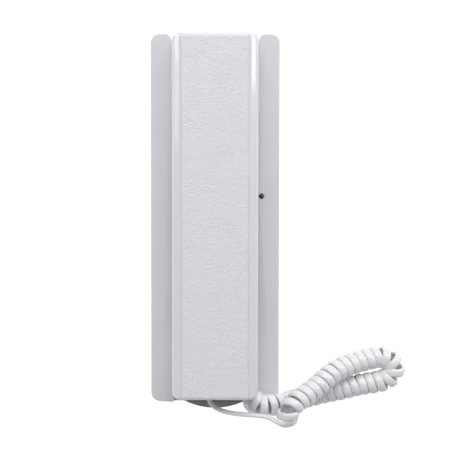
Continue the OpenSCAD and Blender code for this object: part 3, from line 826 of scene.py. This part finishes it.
@dataclass
class Handset:
    """The handset: grained outer shell, inner shell, keys and fittings.

    Attributes:
        nodes: The frame's nodes by name.
        plan_radius: Radius of the plan's corners.
        end_radius: Rounding of the face's two ends.
        wall: Thickness of the casing.
        section: Half of the outer shell's section, from the seam up to the
            middle of the face, in millimetres across and up.
        groove: Across, where the border groove starts outside.
        grain_from: Across, where the grain starts inside the smooth border.
    """

    nodes: dict[str, Object]
    plan_radius: float = 4.7
    end_radius: float = 2.4
    wall: float = 2.2
    section: tuple[tuple[float, float], ...] = (
        (24.75, 32.0), (25.0, 32.25), (25.0, 35.5), (25.0, 38.9), (24.96, 39.35),
        (24.84, 39.75), (24.62, 40.12), (24.2, 40.62), (22.9, 41.84), (21.4, 43.16),
        (20.35, 44.08), (20.12, 44.2), (19.92, 44.14), (19.74, 43.98), (19.5, 43.9),
        (19.28, 44.02), (19.14, 44.4), (19.02, 44.7), (18.8, 44.88), (18.4, 44.94),
        (17.6, 44.95), (14.0, 44.96), (9.0, 44.98), (4.5, 44.99), (0.0, 45.0))
    groove: float = 20.35
    grain_from: float = 18.0
    edge_z: float = 38.9
    seam_z: float = 32.0

    def outer_point(self, x: float, z: float, inset: float, drop: float) -> tuple[float, float]:
        """Place a point of the section near an end of the shell.

        Args:
            x: Across, in the full section.
            z: Up, in the full section.
            inset: How far the plan's outline has come in.
            drop: How far the end's rounding has come down.

        Returns:
            Across and up, at that place along the shell.
        """
        rise = 0.0
        if abs(x) > self.groove:
            reach = 25.0 - self.groove
            share = (abs(x) - self.groove) / reach
            moved = inset * min(1.0, share)
            rise = moved * 5.0 / 5.7 if z >= self.edge_z else 0.0
            x = math.copysign(abs(x) - moved, x)
        if z >= self.edge_z:
            return x, z + rise - drop
        lift = inset * 5.0 / 5.7 - drop
        return x, self.seam_z + (z - self.seam_z) * (self.edge_z + lift - self.seam_z) / (
            self.edge_z - self.seam_z)

    def build_outer_shell(self) -> Object:
        """Build the outer shell with its grained face, border groove and sloping sides.

        Returns:
            The shell.
        """
        low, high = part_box("handset_outer_shell")
        y0, y1 = low[1] / MM, high[1] / MM
        steps = 12
        ends = [self.plan_radius * (1 - math.cos(math.pi / 2 * k / steps))
                for k in range(steps + 1)]
        stations = [y0 + e for e in ends]
        stations += [y0 + 12 + (y1 - y0 - 24) * k / 16 for k in range(17)]
        stations += [y1 - e for e in reversed(ends)]
        half = self.section
        whole = list(half) + [(-x, z) for x, z in reversed(half[:-1])]
        bm = bmesh.new()
        line: list[Any] = []
        for y in stations:
            e = min(y - y0, y1 - y)
            r, q = self.plan_radius, self.end_radius
            inset = r - math.sqrt(max(0.0, r * r - max(0.0, r - e) ** 2))
            drop = q - math.sqrt(max(0.0, q * q - max(0.0, q - e) ** 2))
            spots = []
            for x, z in whole:
                px, pz = self.outer_point(x, z, inset, drop)
                spots.append(Vector((px * MM, y * MM, pz * MM)))
            if not line:
                line = [bm.verts.new(p) for p in spots]
                run = [bm.edges.new(pair) for pair in zip(line, line[1:])]
                bm.faces.new(line)
                continue
            swept = bmesh.ops.extrude_edge_only(bm, edges=run)["geom"]
            fresh = [g for g in swept if isinstance(g, bmesh.types.BMVert)]
            run = [g for g in swept if isinstance(g, bmesh.types.BMEdge)
                   and all(v in fresh for v in g.verts)]
            order = {v: k for k, v in enumerate(line)}
            link = {v: next(order[e2.other_vert(v)] for e2 in v.link_edges
                            if e2.other_vert(v) in order) for v in fresh}
            line = sorted(fresh, key=lambda v: link[v])
            for v, p in zip(line, spots):
                v.co = p
        bm.faces.new(line[::-1])
        bmesh.ops.recalc_face_normals(bm, faces=bm.faces[:])
        for face in bm.faces:
            middle = face.calc_center_median()
            face.material_index = 1 if (abs(middle.x) < self.grain_from * MM
                                        and face.normal.z > 0.3) else 0
        shell = as_piece(bm, "handset_outer_casing", [GLOSS_CASING, FACE_GRAIN],
                         crease=50.0, weighted=False)
        thick = shell.modifiers.new("casing_wall", "SOLIDIFY")
        thick.thickness = self.wall * MM
        thick.offset = -1.0
        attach(shell, "handset")
        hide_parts("handset_outer_shell")
        return shell

    def build_inner_shell(self) -> Object:
        """Soften the inner shell with its two pads, key windows and sound holes.

        Returns:
            The shell.
        """
        bm = moulded_copy(self.nodes["handset_inner_shell"])
        round_edges(bm, sharp_edges(bm, 34.0), 0.28 * MM, 2)
        shell = as_piece(bm, "handset_inner_casing", [SATIN_CASING])
        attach(shell, "handset")
        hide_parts("handset_inner_shell")
        return shell

    def build_keys(self) -> list[Object]:
        """Build the fifteen keys with their printed figures.

        Returns:
            The keys.
        """
        made = []
        for name in sorted(n for n in self.nodes if n.startswith("key_")):
            label = name[len("key_"):]
            bm = moulded_copy(self.nodes[name])
            round_edges(bm, sharp_edges(bm, 34.0), 0.25 * MM, 3)
            bmesh.ops.recalc_face_normals(bm, faces=bm.faces[:])
            low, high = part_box(name)
            self._print(bm, label, Vector(((low[0] + high[0]) / 2, (low[1] + high[1]) / 2,
                                           low[2])))
            cap = as_piece(bm, f"cap_{label}", [SLOT_FINISHES["key"], KEY_PRINT])
            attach(cap, f"{name}_cap")
            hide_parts(name)
            made.append(cap)
        return made

    def _print(self, bm: BMesh, label: str, place: Vector) -> None:
        """Print a figure or a plain mark on a key's outer face.

        Args:
            bm: The key's bmesh, which gets the print.
            label: The key's name without its prefix.
            place: The middle of the key's outer face.
        """
        figures = {"star": "*", "hash": "#"}
        known = set(bm.faces)
        if label.isdigit() or label in figures:
            curve = bpy.data.curves.new("figure", "FONT")
            curve.body = figures.get(label, label)
            curve.size = 4.6 * MM
            curve.extrude = 0.03 * MM
            curve.align_x, curve.align_y = "CENTER", "CENTER"
            holder = bpy.data.objects.new("figure", curve)
            bpy.context.scene.collection.objects.link(holder)
            depsgraph = bpy.context.evaluated_depsgraph_get()
            mesh = bpy.data.meshes.new_from_object(holder.evaluated_get(depsgraph))
            mesh.transform(Matrix.Translation(place) @ Matrix.Rotation(math.pi, 4, "Y"))
            bm.from_mesh(mesh)
            bpy.data.objects.remove(holder)
            bpy.data.curves.remove(curve)
            bpy.data.meshes.remove(mesh)
        else:
            sides = {"redial": 24, "flash": 3}.get(label, 4)
            bmesh.ops.create_cone(bm, cap_ends=True, segments=sides, radius1=1.2 * MM,
                                  radius2=1.2 * MM, depth=0.06 * MM,
                                  matrix=Matrix.Translation(place))
        for face in bm.faces:
            if face not in known:
                face.material_index = 1

    def build(self) -> list[Object]:
        """Build the handset's pieces and return them."""
        return [self.build_outer_shell(), self.build_inner_shell(), *self.build_keys()]


# ------------------------------------------------------------------ the base


@dataclass
class WallBase:
    """The wall base: front shell with two wings, rear cover and small parts.

    Attributes:
        nodes: The frame's nodes by name.
        half_width: Half of the base's width, in millimetres.
        half_length: Half of the base's length, in millimetres.
        corner: Radius of the plan's corners, in millimetres.
        rim_radius: Rounding of the outer top edge, in millimetres.
    """

    nodes: dict[str, Object]
    half_width: float = 38.0
    half_length: float = 109.0
    corner: float = 5.0
    rim_radius: float = 0.9

    def on_outline(self, p: Vector) -> bool:
        """Say whether a point lies on the base's outer outline."""
        x, y = abs(p.x) / MM, abs(p.y) / MM
        if x > self.half_width - self.corner and y > self.half_length - self.corner:
            away = math.hypot(x - self.half_width + self.corner,
                              y - self.half_length + self.corner)
            return away > self.corner - 0.15
        return x > self.half_width - 0.1 or y > self.half_length - 0.1

    def build_front_shell(self) -> Object:
        """Soften the front shell: a wide rounding outside, small ones inside.

        Returns:
            The shell.
        """
        bm = moulded_copy(self.nodes["base_shell"])
        rim = sharp_edges(bm, 34.0, lambda p: self.on_outline(p) and p.z > 12.6 * MM)
        round_edges(bm, rim, self.rim_radius * MM, 4)
        small = sharp_edges(bm, 34.0, lambda p: p.z > 7.9 * MM)
        round_edges(bm, small, 0.22 * MM, 2)
        shell = as_piece(bm, "base_front_casing", [SATIN_CASING])
        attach(shell, "base")
        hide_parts("base_shell")
        return shell

    def build_rear_cover(self) -> Object:
        """Soften the rear cover and return it."""
        bm = moulded_copy(self.nodes["rear_cover"])
        back = sharp_edges(bm, 34.0, lambda p: self.on_outline(p) and p.z < 0.1 * MM)
        round_edges(bm, back, 0.7 * MM, 3)
        round_edges(bm, sharp_edges(bm, 34.0), 0.2 * MM, 2)
        cover = as_piece(bm, "base_rear_casing", [SATIN_CASING])
        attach(cover, "base")
        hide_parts("rear_cover")
        return cover

    def build_small_parts(self) -> list[Object]:
        """Soften the hanger tab, chin lip and hook, and turn the lamp; the chin lip is dark grey as painted
        shade.

        Returns:
            The pieces.
        """
        made = []
        for node, name, finish, slot, body, radius in (
                ("hanger_tab", "earpiece_hanger", SATIN_CASING, "casing", "base", 0.4),
                # The chin lip's dark grey is painted shade under the handset's end.
                ("chin_bumper", "chin_lip", CHIN_SHADE_GREY, "rubber", "base", 0.5),
                ("hook_plunger", "hook_button", SATIN_CASING, "casing", "hook", 0.45)):
            bm = moulded_copy(self.nodes[node])
            round_edges(bm, sharp_edges(bm, 34.0), radius * MM, 3)
            piece = as_piece(bm, name, [finish])
            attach(piece, body)
            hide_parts(node)
            made.append(piece)
        made.append(self.build_lamp())
        return made

    def build_lamp(self) -> Object:
        """Turn the ringing lamp: a dark dome on a collared stem.

        Returns:
            The lamp.
        """
        low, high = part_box("ring_lamp")
        x, y = (low[0] + high[0]) / 2, (low[1] + high[1]) / 2
        top = high[2] / MM
        outline = [(0.0, 7.9), (1.8, 7.9), (1.9, 8.0), (1.9, 8.8), (1.8, 8.9), (1.5, 8.95),
                   (1.5, top - 1.5)]
        outline += [(1.5 * math.cos(a), top - 1.5 + 1.5 * math.sin(a))
                    for a in (math.pi / 2 * k / 8 for k in range(1, 9))]
        bm = bmesh.new()
        verts = [bm.verts.new((r * MM, 0.0, z * MM)) for r, z in outline]
        edges = [bm.edges.new(pair) for pair in zip(verts, verts[1:])]
        bmesh.ops.spin(bm, geom=[*verts, *edges], cent=(0, 0, 0), axis=(0, 0, 1), dvec=(0, 0, 0),
                       angle=2 * math.pi, steps=32, use_merge=True, use_duplicate=False)
        bmesh.ops.remove_doubles(bm, verts=bm.verts[:], dist=1e-6)
        bmesh.ops.recalc_face_normals(bm, faces=bm.faces[:])
        bmesh.ops.translate(bm, verts=bm.verts[:], vec=(x, y, 0.0))
        lamp = as_piece(bm, "ringing_lamp", [SMOKED_LENS], weighted=False)
        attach(lamp, "base")
        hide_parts("ring_lamp")
        return lamp

    def build(self) -> list[Object]:
        """Build the base's pieces and return them."""
        return [self.build_front_shell(), self.build_rear_cover(), *self.build_small_parts()]


@dataclass
class ModularPlugs:
    """The two modular plugs of the cord, each with its gold blades.

    Attributes:
        nodes: The frame's nodes by name.
        blades: How many contacts a plug has.
    """

    nodes: dict[str, Object]
    blades: int = 4

    def build(self) -> list[Object]:
        """Soften both plugs, add their blades, and return them."""
        made = []
        for node, name, body in (("base_plug", "base_end_plug", "base"),
                                 ("handset_plug", "handset_end_plug", "handset")):
            bm = moulded_copy(self.nodes[node])
            round_edges(bm, sharp_edges(bm, 34.0), 0.35 * MM, 3)
            plain = set(bm.faces)
            low, high = (Vector(p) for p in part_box(node))
            wide = 0 if high.x - low.x > high.z - low.z else 2
            thin = 2 - wide
            for k in range(self.blades):
                place = (low + high) / 2
                place[wide] += (k - (self.blades - 1) / 2) * 1.1 * MM
                place[thin] = high[thin] - 0.1 * MM
                place.y = high.y - 2.5 * MM
                size = Vector((0.0, 3.2 * MM, 0.0))
                size[wide], size[thin] = 0.4 * MM, 0.3 * MM
                bmesh.ops.create_cube(bm, size=1.0, matrix=Matrix.Translation(place)
                                      @ Matrix.Diagonal((*size, 1.0)))
            for face in bm.faces:
                if face not in plain:
                    face.material_index = 1
            plug = as_piece(bm, name, [SLOT_FINISHES["plug"], GOLD_BLADE])
            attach(plug, body)
            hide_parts(node)
            made.append(plug)
        return made


def dress_frame(frame: dict[str, Any]) -> int:
    """Give every frame node that still shows its finish.


    Returns:
        How many nodes were dressed.
    """
    slots = {part["node"]: part["material_slot"] for part in frame["record"]["subparts"]}
    count = 0
    for name, node in frame["nodes"].items():
        if node.hide_render:
            continue
        node.data.materials.clear()
        node.data.materials.append(SLOT_FINISHES[slots[name]].material())
        count += 1
    return count


def main() -> None:
    """Build the telephone in order and report each piece."""
    logging.basicConfig(level=logging.INFO, format="%(name)s: %(message)s")
    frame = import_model()
    studio = Studio()
    studio.set_camera()
    cord = CurlyCord()
    strand = cord.build()
    LOG.info("curly cord: %.3f m", travelled(cord.middles)[-1])
    plugs = ModularPlugs(frame["nodes"]).build()
    cord.declare()
    pieces = Handset(frame["nodes"]).build() + WallBase(frame["nodes"]).build()
    for piece in [strand, *plugs, *pieces]:
        LOG.info("%s: %d faces", piece.name, len(piece.data.polygons))
    LOG.info("dressed %d frame nodes", dress_frame(frame))
    studio.lay_floor()
    studio.light()
    bpy.context.view_layer.update()


if __name__ == "__main__":
    main()
